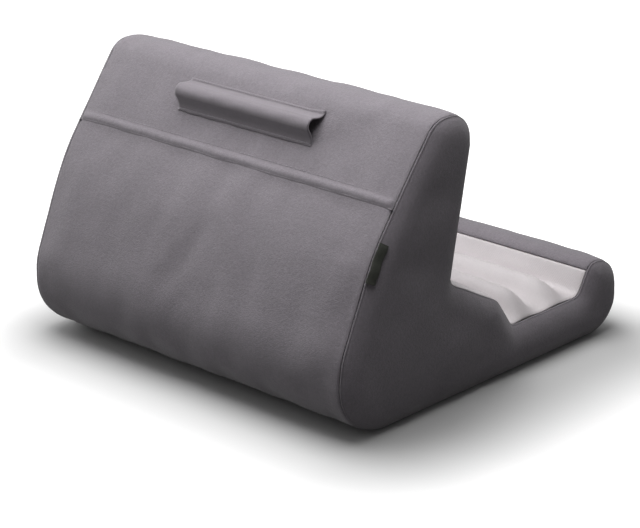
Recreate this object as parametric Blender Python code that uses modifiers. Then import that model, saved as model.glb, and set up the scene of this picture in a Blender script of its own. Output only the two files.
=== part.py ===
"""Tablet cushion stand: one cut foam block inside a sewn, zipped cover.

In front of a wedge-shaped bolster lies a padded tray with two cross ridges, closed at
the front by a soft roll. The cover has two shaped end panels and four strips that run
between them, and a light lining over the tray. A lapped zip under the rolled hem on the
back lets the foam out. A narrow sleeve is sewn across the upper back, and a blank woven
tag is caught in one back seam.

X runs along the width, the tray is towards -Y, +Z is up, and the origin lies on the
table under the middle of the stand. All sizes are in metres.
"""
import math

import bmesh
import bpy
from mathutils import Matrix, Vector
from mathutils.geometry import delaunay_2d_cdt, intersect_point_line

# Width of the filled cover: the end seams lean out towards the top, the end faces stand
# upright, and the strips curve in a little beside the seams
SEAM_HALF_WIDTH = 0.127
SEAM_LEAN = 0.003
END_PUFF = 0.007
END_FACE = SEAM_HALF_WIDTH + END_PUFF
END_ROUND = 0.014
SEAM_DROP = 0.0015
CROWN_MARGIN = 0.022

# Bolster: heights above the table, depths measured back from the front of the roll
BOLSTER_HEIGHT = 0.178
BOLSTER_TOP_FRONT = 0.147
BOLSTER_TOP_RADIUS = 0.020
BOLSTER_CREST = 0.004
UPPER_BACK_SLOPE = math.radians(53.2)
LOWER_BACK_SLOPE = math.radians(67.0)
KNEE_RADIUS = 0.160
HEEL_RADIUS = 0.041
FOOT_DEPTH = 0.165
FOOT_HEIGHT = 0.075
FOOT_RADIUS = 0.006

# Front roll
ROLL_HEIGHT = 0.0505
TOE_RADIUS = 0.026
ROLL_TOP_RADIUS = 0.023
LIP_DEPTH = 0.030
LIP_RADIUS = 0.010

# Tray floor, and the step and ledge that rise behind it to the foot of the bolster
FLOOR_HEIGHT = 0.0315
FLOOR_FRONT = 0.0405
FLOOR_REAR = 0.105
FLOOR_RADIUS = 0.005
STEP_DEPTH = 0.120
STEP_HEIGHT = 0.052
STEP_RADIUS = 0.015

# The two padded ridges across the tray: where each crest lies, its rise and half width
REAR_RIDGE_DEPTH = 0.090
REAR_RIDGE_RISE = 0.0125
FRONT_RIDGE_DEPTH = 0.058
FRONT_RIDGE_RISE = 0.0095
RIDGE_HALF_WIDTH = 0.015
RIDGE_RUNOUT = 0.020

# Cloth, and the air left between neighbouring pieces
CLOTH = 0.0015
GAP = 0.0003
END_SEAM_GAP = 0.0005
FOAM_CLEARANCE = 0.0004

# Rolled hem of the zip flap: its place down the back from the bolster's top round
HEM_ALONG = 0.0433
HEM_RADIUS = 0.0019
HEM_END_MARGIN = 0.0025

# Zip: sizes across it and through it, its length, and the slider
ZIP_BEHIND_HEM = 0.009
ZIP_END_MARGIN = 0.027
ZIP_HALF_LENGTH = SEAM_HALF_WIDTH - ZIP_END_MARGIN
TAPE_THICKNESS = 0.0005
TAPE_MARGIN = 0.0080
COIL_SLIT = 0.0016
COIL_WIDTH = 0.0018
COIL_DEPTH = 0.0016
STOP_LENGTH = 0.0024
SLIDER_LENGTH = 0.009
SLIDER_WIDTH = 0.0076
SLIDER_PLATE = 0.0007
SLIDER_RIM = 0.0007
SLIDER_WEB = 0.0009
RUNNING_CLEARANCE = 0.0002
SLIDER_HEADROOM = 0.0005
CHANNEL_CLEARANCE = 0.0008

# Sleeve on the upper back: a strip sewn down along both long edges
SLEEVE_ALONG = 0.0141
SLEEVE_LEFT_MARGIN = 0.0738
SLEEVE_RIGHT_MARGIN = 0.0706
SLEEVE_CLOTH = 0.0010
SLEEVE_BORE_RADIUS = 0.0053
SLEEVE_BORE_RISE = 0.0050
SLEEVE_HALF_SPREAD = 0.0093
SLEEVE_FLANGE = 0.0016

# Blank woven tag caught in the back seam at the -X end
TAG_BELOW_HEM = 0.021
TAG_LENGTH = 0.024
TAG_INSETS = (0.0006, 0.0014, 0.0024, 0.0036)
TAG_THICKNESS = 0.0006
TAG_LIFT = 0.0004
TAG_ROWS = 3

# How finely the curved stretches are divided
ARC_STEP = math.radians(20.0)
ARC_CHORD = 0.013
RUN_STEP = 0.018
RIDGE_SAMPLES = 8
MARGIN_COLUMNS = 4
CAP_RINGS = (0.0004, 0.0016, 0.0045, 0.009)
CAP_RING_KEEP = 0.9
CAP_GRID = 0.020
SLEEVE_ARC_STEPS = 10
MERGE_DISTANCE = 1e-6
SAME_PLACE = 1e-7
CUTTER_REACH = 0.01

PART = "tablet_cushion_stand"


class Station:
    """One point on the cover's outline: its place, outward normal and ridge rise."""

    def __init__(self, point, normal, rise=0.0):
        self.point = Vector(point)
        self.normal = Vector(normal).normalized()
        self.rise = rise


def outward(direction):
    """Outward normal of a run of the outline, which goes clockwise seen from -X."""
    return Vector((-direction.y, direction.x))


def corner_arc(before, corner, after, radius):
    """Stations round one corner of the outline, filleted to the given radius."""
    arriving = (corner - before).normalized()
    leaving = (after - corner).normalized()
    turn = arriving.angle_signed(leaving)
    reach = radius * math.tan(abs(turn) / 2.0)
    first = corner - arriving * reach
    start_normal = outward(arriving)
    bulge = 1.0 if turn > 0.0 else -1.0
    centre = first - start_normal * radius * bulge
    steps = max(2, round(abs(turn) / ARC_STEP), round(abs(turn) * radius / ARC_CHORD))
    stations = []
    for step in range(steps + 1):
        angle = -turn * step / steps
        normal = Vector((start_normal.x * math.cos(angle) - start_normal.y * math.sin(angle),
                         start_normal.x * math.sin(angle) + start_normal.y * math.cos(angle)))
        stations.append(Station(centre + normal * radius * bulge, normal))
    return stations


def outline_corners():
    """Corners of the cover's outline as (depth, height) and the radius of each fillet."""
    face_lean = math.atan2(FOOT_DEPTH - BOLSTER_TOP_FRONT, BOLSTER_HEIGHT - FOOT_HEIGHT)
    front_reach = BOLSTER_TOP_RADIUS * math.tan((math.pi / 2.0 + face_lean) / 2.0)
    back_reach = BOLSTER_TOP_RADIUS * math.tan(UPPER_BACK_SLOPE / 2.0)
    top_back_depth = BOLSTER_TOP_FRONT + front_reach + BOLSTER_CREST + back_reach
    flat_back = HEM_ALONG + HEM_RADIUS + TAPE_MARGIN + 2.0 * GAP
    knee_reach = KNEE_RADIUS * math.tan((LOWER_BACK_SLOPE - UPPER_BACK_SLOPE) / 2.0)
    to_knee = back_reach + flat_back + knee_reach
    knee_depth = top_back_depth + to_knee * math.cos(UPPER_BACK_SLOPE)
    knee_height = BOLSTER_HEIGHT - to_knee * math.sin(UPPER_BACK_SLOPE)
    heel_depth = knee_depth + knee_height / math.tan(LOWER_BACK_SLOPE)
    return {
        "foot": (FOOT_DEPTH, FOOT_HEIGHT, FOOT_RADIUS),
        "top_front": (BOLSTER_TOP_FRONT, BOLSTER_HEIGHT, BOLSTER_TOP_RADIUS),
        "top_back": (top_back_depth, BOLSTER_HEIGHT, BOLSTER_TOP_RADIUS),
        "knee": (knee_depth, knee_height, KNEE_RADIUS),
        "heel": (heel_depth, 0.0, HEEL_RADIUS),
        "toe": (0.0, 0.0, TOE_RADIUS),
        "roll_top": (0.0, ROLL_HEIGHT, ROLL_TOP_RADIUS),
        "lip": (LIP_DEPTH, ROLL_HEIGHT, LIP_RADIUS),
        "floor_front": (FLOOR_FRONT, FLOOR_HEIGHT, FLOOR_RADIUS),
        "floor_rear": (FLOOR_REAR, FLOOR_HEIGHT, FLOOR_RADIUS),
        "step": (STEP_DEPTH, STEP_HEIGHT, STEP_RADIUS),
    }


def outline_arcs():
    """The arc of stations at each corner, moved so that the depth is centred on y = 0."""
    corners = outline_corners()
    names = list(corners)
    arcs = {}
    for index, name in enumerate(names):
        depth, height, radius = corners[name]
        before = Vector(corners[names[index - 1]][:2])
        after = Vector(corners[names[(index + 1) % len(names)]][:2])
        arcs[name] = corner_arc(before, Vector((depth, height)), after, radius)
    depths = [station.point.x for arc in arcs.values() for station in arc]
    middle = (min(depths) + max(depths)) / 2.0
    for arc in arcs.values():
        for station in arc:
            station.point.x -= middle
    return arcs, middle


ARCS, MIDDLE_DEPTH = outline_arcs()


def ridge_rise(y):
    """Rise of the two padded ridges above the tray floor."""
    rise = 0.0
    for depth, height in ((REAR_RIDGE_DEPTH, REAR_RIDGE_RISE), (FRONT_RIDGE_DEPTH, FRONT_RIDGE_RISE)):
        offset = abs(y + MIDDLE_DEPTH - depth) / RIDGE_HALF_WIDTH
        if offset < 1.0:
            rise += height * math.cos(offset * math.pi / 2.0) ** 2
    return rise


def floor_stations():
    """Stations across the tray floor, close enough together to shape the ridges."""
    front = ARCS["floor_front"][-1]
    rear = ARCS["floor_rear"][0]
    depths = set()
    for crest in (REAR_RIDGE_DEPTH, FRONT_RIDGE_DEPTH):
        for step in range(RIDGE_SAMPLES + 1):
            offset = RIDGE_HALF_WIDTH * (2.0 * step / RIDGE_SAMPLES - 1.0)
            depths.add(round(crest + offset - MIDDLE_DEPTH, 6))
    inside = sorted(y for y in depths if front.point.x + GAP < y < rear.point.x - GAP)
    return [Station((y, front.point.y), (0.0, 1.0), ridge_rise(y)) for y in inside]


def along_run(start, end, distance):
    """Station on the straight run after one arc, at a distance from that arc's end."""
    direction = (end.point - start.point).normalized()
    return Station(start.point + direction * distance, outward(direction))


def shifted(station, direction, distance):
    """A copy of a station moved along a run."""
    return Station(station.point + direction * distance, station.normal, station.rise)


def run_direction(first, second):
    """Unit direction of the straight run between two arcs."""
    return (ARCS[second][0].point - ARCS[first][-1].point).normalized()


def cover_strips():
    """The stations of each strip of the cover, in order round the outline."""
    hem = along_run(ARCS["top_back"][-1], ARCS["knee"][0], HEM_ALONG)
    down = run_direction("top_back", "knee")
    up_face = run_direction("foot", "top_front")
    forward = run_direction("heel", "toe")
    slope = run_direction("lip", "floor_front")
    return {
        "bolster_panel": [shifted(ARCS["foot"][-1], up_face, GAP)] + ARCS["top_front"]
        + ARCS["top_back"] + [shifted(hem, down, -GAP)],
        "back_lower_panel": [shifted(hem, down, HEM_RADIUS + GAP)] + ARCS["knee"] + ARCS["heel"],
        "base_panel": [shifted(ARCS["heel"][-1], forward, GAP), ARCS["toe"][0]],
        "front_roll_panel": [shifted(ARCS["toe"][0], forward, GAP)] + ARCS["toe"][1:]
        + ARCS["roll_top"] + ARCS["lip"],
        "tray_lining": [shifted(ARCS["lip"][-1], slope, GAP)] + ARCS["floor_front"]
        + floor_stations() + ARCS["floor_rear"] + ARCS["step"] + ARCS["foot"],
    }


def evenly_divided(stations):
    """Drop a station that falls on the one before it, and divide the long straight runs."""
    kept = stations[:1]
    for station in stations[1:]:
        last = kept[-1]
        length = (station.point - last.point).length
        if length < GAP / 2.0:
            continue
        parts = math.ceil(length / RUN_STEP)
        for part in range(1, parts):
            share = part / parts
            kept.append(Station(last.point.lerp(station.point, share),
                                last.normal.lerp(station.normal, share)))
        kept.append(station)
    return kept


STRIPS = {name: evenly_divided(stations) for name, stations in cover_strips().items()}


def half_width(height):
    """Distance of the end seams from the middle at a height: they lean out."""
    return SEAM_HALF_WIDTH + SEAM_LEAN * height / BOLSTER_HEIGHT


def drop_share(station):
    """Share of the seam drop at a station: none underneath, where the stand rests flat."""
    return min(1.0, 1.0 + station.normal.y)


def seam_drop(station, x):
    """How far the cover lies inside its middle outline: it curves in beside the end seams."""
    inside = (abs(x) - (SEAM_HALF_WIDTH - CROWN_MARGIN)) / CROWN_MARGIN
    return SEAM_DROP * drop_share(station) * max(0.0, inside) ** 2


def seam_place(station):
    """Place of a station on the end seam, in the side view."""
    return station.point - station.normal * SEAM_DROP * drop_share(station)


def ridge_runout(x):
    """The ridges run out before they reach the end seams."""
    room = (SEAM_HALF_WIDTH - abs(x)) / RIDGE_RUNOUT
    return math.sin(min(1.0, max(0.0, room)) * math.pi / 2.0)


def cover_point(station, x, lift=0.0):
    """Place of one station of the outline on the cover, at a distance from the middle."""
    flat = station.point + station.normal * (lift - seam_drop(station, x))
    wide = x * half_width(flat.y) / SEAM_HALF_WIDTH
    return Vector((wide, flat.x, flat.y + station.rise * ridge_runout(x)))


def columns():
    """X places of the cover's cross-sections, close together beside the end seams."""
    side = [SEAM_HALF_WIDTH - CROWN_MARGIN * step / MARGIN_COLUMNS
            for step in range(MARGIN_COLUMNS + 1)]
    return [-x for x in side] + [0.0] + side[::-1]


def new_object(name, mesh, collection):
    """Link a mesh to a collection as one named object."""
    item = bpy.data.objects.new(name, mesh)
    collection.objects.link(item)
    return item


def mesh_from(name, shape):
    """Turn a bmesh into a mesh."""
    mesh = bpy.data.meshes.new(name)
    shape.normal_update()
    shape.to_mesh(mesh)
    shape.free()
    return mesh


def strip_surface(shape, stations, places):
    """Add a grid of faces over a run of stations; returns its rows of vertices."""
    rows = []
    for station in stations:
        rows.append([shape.verts.new(cover_point(station, x)) for x in places])
    for lower, upper in zip(rows, rows[1:]):
        for column in range(len(places) - 1):
            shape.faces.new((lower[column], lower[column + 1], upper[column + 1], upper[column]))
    return rows


def edge_distance(point, ring):
    """Shortest distance from a point in the end plane to the seam ring."""
    nearest = math.inf
    for start, end in zip(ring, ring[1:] + ring[:1]):
        foot, share = intersect_point_line(point, start, end)
        if share < 0.0:
            foot = start
        elif share > 1.0:
            foot = end
        nearest = min(nearest, (point - foot).length)
    return nearest


def is_inside(point, ring):
    """Even-odd test of a point against the seam ring."""
    inside = False
    for start, end in zip(ring, ring[1:] + ring[:1]):
        if (start.y > point.y) != (end.y > point.y):
            crossing = start.x + (point.y - start.y) * (end.x - start.x) / (end.y - start.y)
            if point.x < crossing:
                inside = not inside
    return inside


def end_face(height, distance, edge_gap):
    """X of the puffed end panel at a height, and at a distance in from the seam."""
    edge = half_width(height) + edge_gap
    share = min(1.0, distance / END_ROUND)
    return edge + (END_FACE - edge) * math.sqrt(1.0 - (1.0 - share) ** 2)


def cap_points(stations, ring):
    """Points inside the seam ring: a few rings beside the seam, then a square grid."""
    points = []
    for inset in CAP_RINGS:
        for station, place in zip(stations, ring):
            point = place - station.normal * inset
            if is_inside(point, ring) and edge_distance(point, ring) > inset * CAP_RING_KEEP:
                points.append(point)
    low_y, high_y = min(p.x for p in ring), max(p.x for p in ring)
    low_z, high_z = min(p.y for p in ring), max(p.y for p in ring)
    for row in range(int((high_z - low_z) / CAP_GRID) + 1):
        for place in range(int((high_y - low_y) / CAP_GRID) + 1):
            point = Vector((low_y + (place + 0.5) * CAP_GRID, low_z + (row + 0.5) * CAP_GRID))
            if is_inside(point, ring) and edge_distance(point, ring) > END_ROUND:
                points.append(point)
    return points


def cap_surface(shape, stations, side, edge_gap):
    """Add one puffed end face; returns its outer ring of vertices."""
    ring = [seam_place(station) for station in stations]
    coords = ring + cap_points(stations, ring)
    flat = delaunay_2d_cdt(coords, [], [list(range(len(ring)))], 1, SAME_PLACE)
    verts = []
    for index, place in enumerate(flat[0]):
        distance = 0.0 if index < len(ring) else edge_distance(place, ring)
        x = side * end_face(place.y, distance, edge_gap)
        verts.append(shape.verts.new((x, place.x, place.y)))
    for face in flat[2]:
        corners = [verts[index] for index in face]
        shape.faces.new(corners if side > 0.0 else corners[::-1])
    return verts[:len(ring)]


def all_stations():
    """Every station once, in order round the closed outline."""
    return [station for stations in STRIPS.values() for station in stations]


def close_surface(shape):
    """Point a closed or open surface's faces outwards."""
    bmesh.ops.remove_doubles(shape, verts=shape.verts, dist=MERGE_DISTANCE)
    bmesh.ops.recalc_face_normals(shape, faces=shape.faces)


def cloth_strip(name, collection):
    """One strip of the cover: an open surface, thickened inwards to the cloth."""
    shape = bmesh.new()
    strip_surface(shape, STRIPS[name], columns())
    item = new_object(name, mesh_from(name, shape), collection)
    thicken(item, CLOTH, -1.0)
    return item


def thicken(item, thickness, offset):
    """Give an open surface its cloth thickness, inwards (-1) or outwards (1)."""
    solid = item.modifiers.new("cloth", "SOLIDIFY")
    solid.thickness = thickness
    solid.offset = offset
    solid.use_even_offset = True


def end_panel(name, side, collection):
    """One puffed end panel of the cover."""
    shape = bmesh.new()
    cap_surface(shape, all_stations(), side, END_SEAM_GAP)
    item = new_object(name, mesh_from(name, shape), collection)
    thicken(item, CLOTH, -1.0)
    return item


def foam_surface():
    """The closed outer face of the cover, moved in to the face of the foam."""
    shape = bmesh.new()
    stations = all_stations()
    places = columns()
    rows = strip_surface(shape, stations + stations[:1], places)
    for side, column in ((-1.0, 0), (1.0, len(places) - 1)):
        cap_surface(shape, stations, side, 0.0)
    close_surface(shape)
    shape.normal_update()
    inset = CLOTH + FOAM_CLEARANCE
    moves = [(vert, vert.normal * inset * vert.calc_shell_factor()) for vert in shape.verts]
    for vert, move in moves:
        vert.co -= move
    return shape


def back_frame(along):
    """Matrix of the flat upper back: X along the stand, Y down the slope, Z outwards."""
    start = ARCS["top_back"][-1].point
    down = run_direction("top_back", "knee")
    normal = outward(down)
    place = start + down * along
    frame = Matrix(((1.0, 0.0, 0.0), (0.0, down.x, normal.x), (0.0, down.y, normal.y)))
    return Matrix.Translation((0.0, place.x, place.y)) @ frame.to_4x4()


def extrude_profile(name, profile, low_x, high_x, collection):
    """A solid along the zip, of one section given as (down the slope, outwards)."""
    shape = bmesh.new()
    corners = [shape.verts.new((low_x, y, z)) for y, z in profile]
    shape.faces.new(corners)
    swept = bmesh.ops.extrude_face_region(shape, geom=shape.faces[:])
    moved = [part for part in swept["geom"] if isinstance(part, bmesh.types.BMVert)]
    bmesh.ops.translate(shape, verts=moved, vec=(high_x - low_x, 0.0, 0.0))
    bmesh.ops.recalc_face_normals(shape, faces=shape.faces)
    item = new_object(name, mesh_from(name, shape), collection)
    item.matrix_world = back_frame(ZIP_ALONG)
    return item


def box_profile(low_y, high_y, low_z, high_z):
    """Four corners of a rectangular section."""
    return [(low_y, low_z), (high_y, low_z), (high_y, high_z), (low_y, high_z)]


def zip_levels():
    """Depths of the zip's layers under the cover's face, from the outside in."""
    levels = {"margin_top": -CLOTH - GAP}
    levels["slider_top"] = -CLOTH - SLIDER_HEADROOM
    levels["plate_under"] = levels["slider_top"] - SLIDER_PLATE
    levels["tape_top"] = levels["plate_under"] - RUNNING_CLEARANCE
    levels["tape_under"] = levels["tape_top"] - TAPE_THICKNESS
    levels["coil_top"] = levels["tape_under"] - GAP
    levels["coil_under"] = levels["coil_top"] - COIL_DEPTH
    levels["floor_plate_top"] = levels["coil_under"] - RUNNING_CLEARANCE
    levels["slider_under"] = levels["floor_plate_top"] - SLIDER_PLATE
    return levels


LEVELS = zip_levels()
ZIP_ALONG = HEM_ALONG - ZIP_BEHIND_HEM
TAPE_EDGE = COIL_SLIT / 2.0
TAPE_STEP = SLIDER_WIDTH / 2.0 + RUNNING_CLEARANCE + GAP
UPPER_TAPE_REACH = TAPE_STEP + TAPE_MARGIN
LOWER_TAPE_REACH = ZIP_BEHIND_HEM + HEM_RADIUS + TAPE_MARGIN
TAPE_HALF_LENGTH = ZIP_HALF_LENGTH + STOP_LENGTH + GAP


def zip_tape(name, side, reach, collection):
    """One tape: thin beside the coil, then the thick margin that is sewn to the cover."""
    profile = [
        (side * TAPE_EDGE, LEVELS["tape_under"]),
        (side * reach, LEVELS["tape_under"]),
        (side * reach, LEVELS["margin_top"]),
        (side * TAPE_STEP, LEVELS["margin_top"]),
        (side * TAPE_STEP, LEVELS["tape_top"]),
        (side * TAPE_EDGE, LEVELS["tape_top"]),
    ]
    return extrude_profile(name, profile, -TAPE_HALF_LENGTH, TAPE_HALF_LENGTH, collection)


def zip_coil(name, side, collection):
    """One half of the coil, as a plain bar under its tape's inner edge."""
    near, far = side * TAPE_EDGE, side * (TAPE_EDGE + COIL_WIDTH)
    profile = box_profile(min(near, far), max(near, far), LEVELS["coil_under"], LEVELS["coil_top"])
    return extrude_profile(name, profile, -ZIP_HALF_LENGTH, ZIP_HALF_LENGTH, collection)


def zip_stop(name, side, collection):
    """A metal stop across the coil's end."""
    half = TAPE_EDGE + COIL_WIDTH
    near = side * (ZIP_HALF_LENGTH + GAP)
    far = side * (ZIP_HALF_LENGTH + GAP + STOP_LENGTH)
    profile = box_profile(-half, half, LEVELS["coil_under"], LEVELS["coil_top"])
    return extrude_profile(name, profile, min(near, far), max(near, far), collection)


def zip_slider(collection):
    """Slider: two plates joined by a web that runs in the slit between the coil halves."""
    wide = SLIDER_WIDTH / 2.0
    rim = wide - SLIDER_RIM
    web = SLIDER_WEB / 2.0
    rim_top = LEVELS["tape_under"] - RUNNING_CLEARANCE
    half = [
        (wide, LEVELS["slider_top"]), (wide, LEVELS["plate_under"]),
        (web, LEVELS["plate_under"]), (web, LEVELS["floor_plate_top"]),
        (rim, LEVELS["floor_plate_top"]), (rim, rim_top),
        (wide, rim_top), (wide, LEVELS["slider_under"]),
    ]
    profile = half + [(-y, z) for y, z in half[::-1]]
    item = extrude_profile("zip_slider", profile, -SLIDER_LENGTH / 2.0, SLIDER_LENGTH / 2.0,
                           collection)
    closed_end = ZIP_HALF_LENGTH - SLIDER_LENGTH / 2.0 - GAP
    item.location.x = closed_end
    return item


def hem_roll(collection):
    """The rolled edge of the flap, as a tube that follows the cover across the back."""
    edge = STRIPS["bolster_panel"][-1]
    raised = HEM_RADIUS - CLOTH
    curve = bpy.data.curves.new("hem_roll", "CURVE")
    curve.dimensions = "3D"
    curve.bevel_depth = HEM_RADIUS
    curve.bevel_resolution = 2
    curve.use_fill_caps = True
    spline = curve.splines.new("POLY")
    end = SEAM_HALF_WIDTH - HEM_END_MARGIN
    places = [-end] + columns()[1:-1] + [end]
    spline.points.add(len(places) - 1)
    for point, x in zip(spline.points, places):
        point.co = (*cover_point(edge, x, raised), 1.0)
    item = new_object("hem_roll", curve, collection)
    bpy.context.view_layer.update()
    evaluated = item.evaluated_get(bpy.context.evaluated_depsgraph_get())
    mesh = bpy.data.meshes.new_from_object(evaluated)
    bpy.data.objects.remove(item)
    shape = bmesh.new()
    shape.from_mesh(mesh)
    close_surface(shape)
    return as_cutter(new_object("hem_roll", mesh_from("hem_roll", shape), collection))


def as_cutter(item):
    """Mark an object as a tool for a Boolean only."""
    item.hide_render = True
    item.display_type = "WIRE"
    return item


def combine(item, tool, operation):
    """Join a tool to a piece, or cut the piece with it."""
    step = item.modifiers.new(operation.lower(), "BOOLEAN")
    step.operation = operation
    step.object = tool
    step.solver = "EXACT"


def foam_core(collection, cutters):
    """The foam block, relieved under the zip where the real one is pressed in."""
    foam = new_object("foam_core", mesh_from("foam_core", foam_surface()), collection)
    bed = box_profile(-UPPER_TAPE_REACH - GAP, LOWER_TAPE_REACH + GAP,
                      LEVELS["tape_under"] - GAP, CUTTER_REACH)
    channel_half = SLIDER_WIDTH / 2.0 + CHANNEL_CLEARANCE
    channel = box_profile(-channel_half, channel_half,
                          LEVELS["slider_under"] - CHANNEL_CLEARANCE, CUTTER_REACH)
    end = TAPE_HALF_LENGTH + GAP
    for name, profile in (("zip_bed", bed), ("zip_channel", channel)):
        tool = as_cutter(extrude_profile(name, profile, -end, end, cutters))
        combine(foam, tool, "DIFFERENCE")
    return foam


def sleeve_line():
    """Section of the sleeve's inner face: flange, slope, round top, slope, flange."""
    fall = SLEEVE_BORE_RISE - GAP
    reach = math.hypot(SLEEVE_HALF_SPREAD, fall)
    touch = math.acos(SLEEVE_BORE_RADIUS / reach) - math.atan2(fall, SLEEVE_HALF_SPREAD)
    line = []
    for step in range(SLEEVE_ARC_STEPS + 1):
        angle = math.pi - touch - (math.pi - 2.0 * touch) * step / SLEEVE_ARC_STEPS
        line.append((SLEEVE_BORE_RADIUS * math.cos(angle),
                     SLEEVE_BORE_RISE + SLEEVE_BORE_RADIUS * math.sin(angle)))
    edge = SLEEVE_HALF_SPREAD + SLEEVE_FLANGE
    return ([(-edge, GAP), (-SLEEVE_HALF_SPREAD, GAP)] + line
            + [(SLEEVE_HALF_SPREAD, GAP), (edge, GAP)])


def stylus_sleeve(collection):
    """Sleeve: an open strip over the tube's section, thickened outwards."""
    ends = (SLEEVE_RIGHT_MARGIN - SEAM_HALF_WIDTH, SEAM_HALF_WIDTH - SLEEVE_LEFT_MARGIN)
    shape = bmesh.new()
    rows = [[shape.verts.new((x, y, z)) for y, z in sleeve_line()] for x in ends]
    for index in range(len(rows[0]) - 1):
        shape.faces.new((rows[0][index], rows[1][index], rows[1][index + 1], rows[0][index + 1]))
    item = new_object("stylus_sleeve", mesh_from("stylus_sleeve", shape), collection)
    item.matrix_world = back_frame(SLEEVE_ALONG)
    thicken(item, SLEEVE_CLOTH, 1.0)
    return item


def station_along(stations, distance):
    """Station at a distance along a run of stations."""
    for first, second in zip(stations, stations[1:]):
        length = (second.point - first.point).length
        if distance <= length:
            share = distance / length
            return Station(first.point.lerp(second.point, share),
                           first.normal.lerp(second.normal, share))
        distance -= length
    return stations[-1]


def side_tag(collection):
    """Woven tag folded over the end panel beside the back seam, left blank."""
    shape = bmesh.new()
    rows = []
    for step in range(TAG_ROWS):
        along = TAG_BELOW_HEM + TAG_LENGTH * step / (TAG_ROWS - 1)
        seam = station_along(STRIPS["back_lower_panel"], along)
        row = []
        for inset in TAG_INSETS:
            lift = TAG_LIFT * (1.0 - inset / END_ROUND)
            flat = seam_place(seam) - seam.normal * (inset - lift)
            x = -end_face(flat.y, inset, END_SEAM_GAP) - TAG_LIFT
            row.append(shape.verts.new((x, flat.x, flat.y)))
        rows.append(row)
    for upper, lower in zip(rows, rows[1:]):
        for index in range(len(upper) - 1):
            shape.faces.new((upper[index], upper[index + 1], lower[index + 1], lower[index]))
    item = new_object("side_tag", mesh_from("side_tag", shape), collection)
    thicken(item, TAG_THICKNESS, -1.0)
    return item


def material(name, colour, roughness, metallic=0.0):
    """A Principled material."""
    item = bpy.data.materials.new(name)
    item.use_nodes = True
    shader = item.node_tree.nodes["Principled BSDF"]
    shader.inputs["Base Color"].default_value = (*colour, 1.0)
    shader.inputs["Roughness"].default_value = roughness
    shader.inputs["Metallic"].default_value = metallic
    return item


def paint(item, colour, roughness, metallic=0.0):
    """Give a piece its own material."""
    item.data.materials.append(material(item.name + "_finish", colour, roughness, metallic))


def clear_scene():
    """Remove the objects that the scene starts with."""
    for item in list(bpy.data.objects):
        bpy.data.objects.remove(item)


def new_collection(name):
    """A collection under the scene."""
    collection = bpy.data.collections.new(name)
    bpy.context.scene.collection.children.link(collection)
    return collection


DARK_CLOTH = (0.110, 0.102, 0.115)
LINING_CLOTH = (0.48, 0.45, 0.46)
FOAM = (0.72, 0.70, 0.62)
ZIP_TAPE = (0.060, 0.056, 0.062)
ZIP_METAL = (0.35, 0.35, 0.36)
TAG_CLOTH = (0.022, 0.024, 0.020)


def build():
    """Make every piece of the stand."""
    clear_scene()
    parts = new_collection(PART)
    cutters = new_collection("cutters")

    paint(foam_core(parts, cutters), FOAM, 0.95)

    bolster = cloth_strip("bolster_panel", parts)
    combine(bolster, hem_roll(cutters), "UNION")
    paint(bolster, DARK_CLOTH, 0.85)
    for name in ("back_lower_panel", "base_panel", "front_roll_panel"):
        paint(cloth_strip(name, parts), DARK_CLOTH, 0.85)
    paint(cloth_strip("tray_lining", parts), LINING_CLOTH, 0.45)
    paint(end_panel("left_end_panel", 1.0, parts), DARK_CLOTH, 0.85)
    paint(end_panel("right_end_panel", -1.0, parts), DARK_CLOTH, 0.85)

    paint(zip_tape("zip_tape_upper", -1.0, UPPER_TAPE_REACH, parts), ZIP_TAPE, 0.8)
    paint(zip_tape("zip_tape_lower", 1.0, LOWER_TAPE_REACH, parts), ZIP_TAPE, 0.8)
    paint(zip_coil("zip_coil_upper", -1.0, parts), ZIP_TAPE, 0.4)
    paint(zip_coil("zip_coil_lower", 1.0, parts), ZIP_TAPE, 0.4)
    paint(zip_stop("zip_stop_left", 1.0, parts), ZIP_METAL, 0.35, 1.0)
    paint(zip_stop("zip_stop_right", -1.0, parts), ZIP_METAL, 0.35, 1.0)
    paint(zip_slider(parts), ZIP_METAL, 0.35, 1.0)

    paint(stylus_sleeve(parts), DARK_CLOTH, 0.85)
    paint(side_tag(parts), TAG_CLOTH, 0.7)


build()
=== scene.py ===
import math

import bmesh
import bpy
import numpy as np
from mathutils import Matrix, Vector, kdtree, noise
from mathutils.geometry import delaunay_2d_cdt


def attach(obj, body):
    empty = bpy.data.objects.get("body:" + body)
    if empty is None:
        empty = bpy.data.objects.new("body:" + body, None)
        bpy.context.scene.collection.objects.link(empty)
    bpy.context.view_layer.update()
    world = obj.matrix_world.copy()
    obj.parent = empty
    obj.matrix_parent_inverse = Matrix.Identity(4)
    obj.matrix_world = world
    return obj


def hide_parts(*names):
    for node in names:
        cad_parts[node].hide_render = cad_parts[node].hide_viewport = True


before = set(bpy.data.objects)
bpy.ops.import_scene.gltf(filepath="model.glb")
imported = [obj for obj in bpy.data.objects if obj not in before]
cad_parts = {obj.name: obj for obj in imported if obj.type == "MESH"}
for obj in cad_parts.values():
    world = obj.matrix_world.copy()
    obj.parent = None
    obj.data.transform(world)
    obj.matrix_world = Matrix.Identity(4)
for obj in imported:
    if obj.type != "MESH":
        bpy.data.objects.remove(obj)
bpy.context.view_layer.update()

scene = bpy.context.scene
scene.unit_settings.system = "METRIC"


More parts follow.
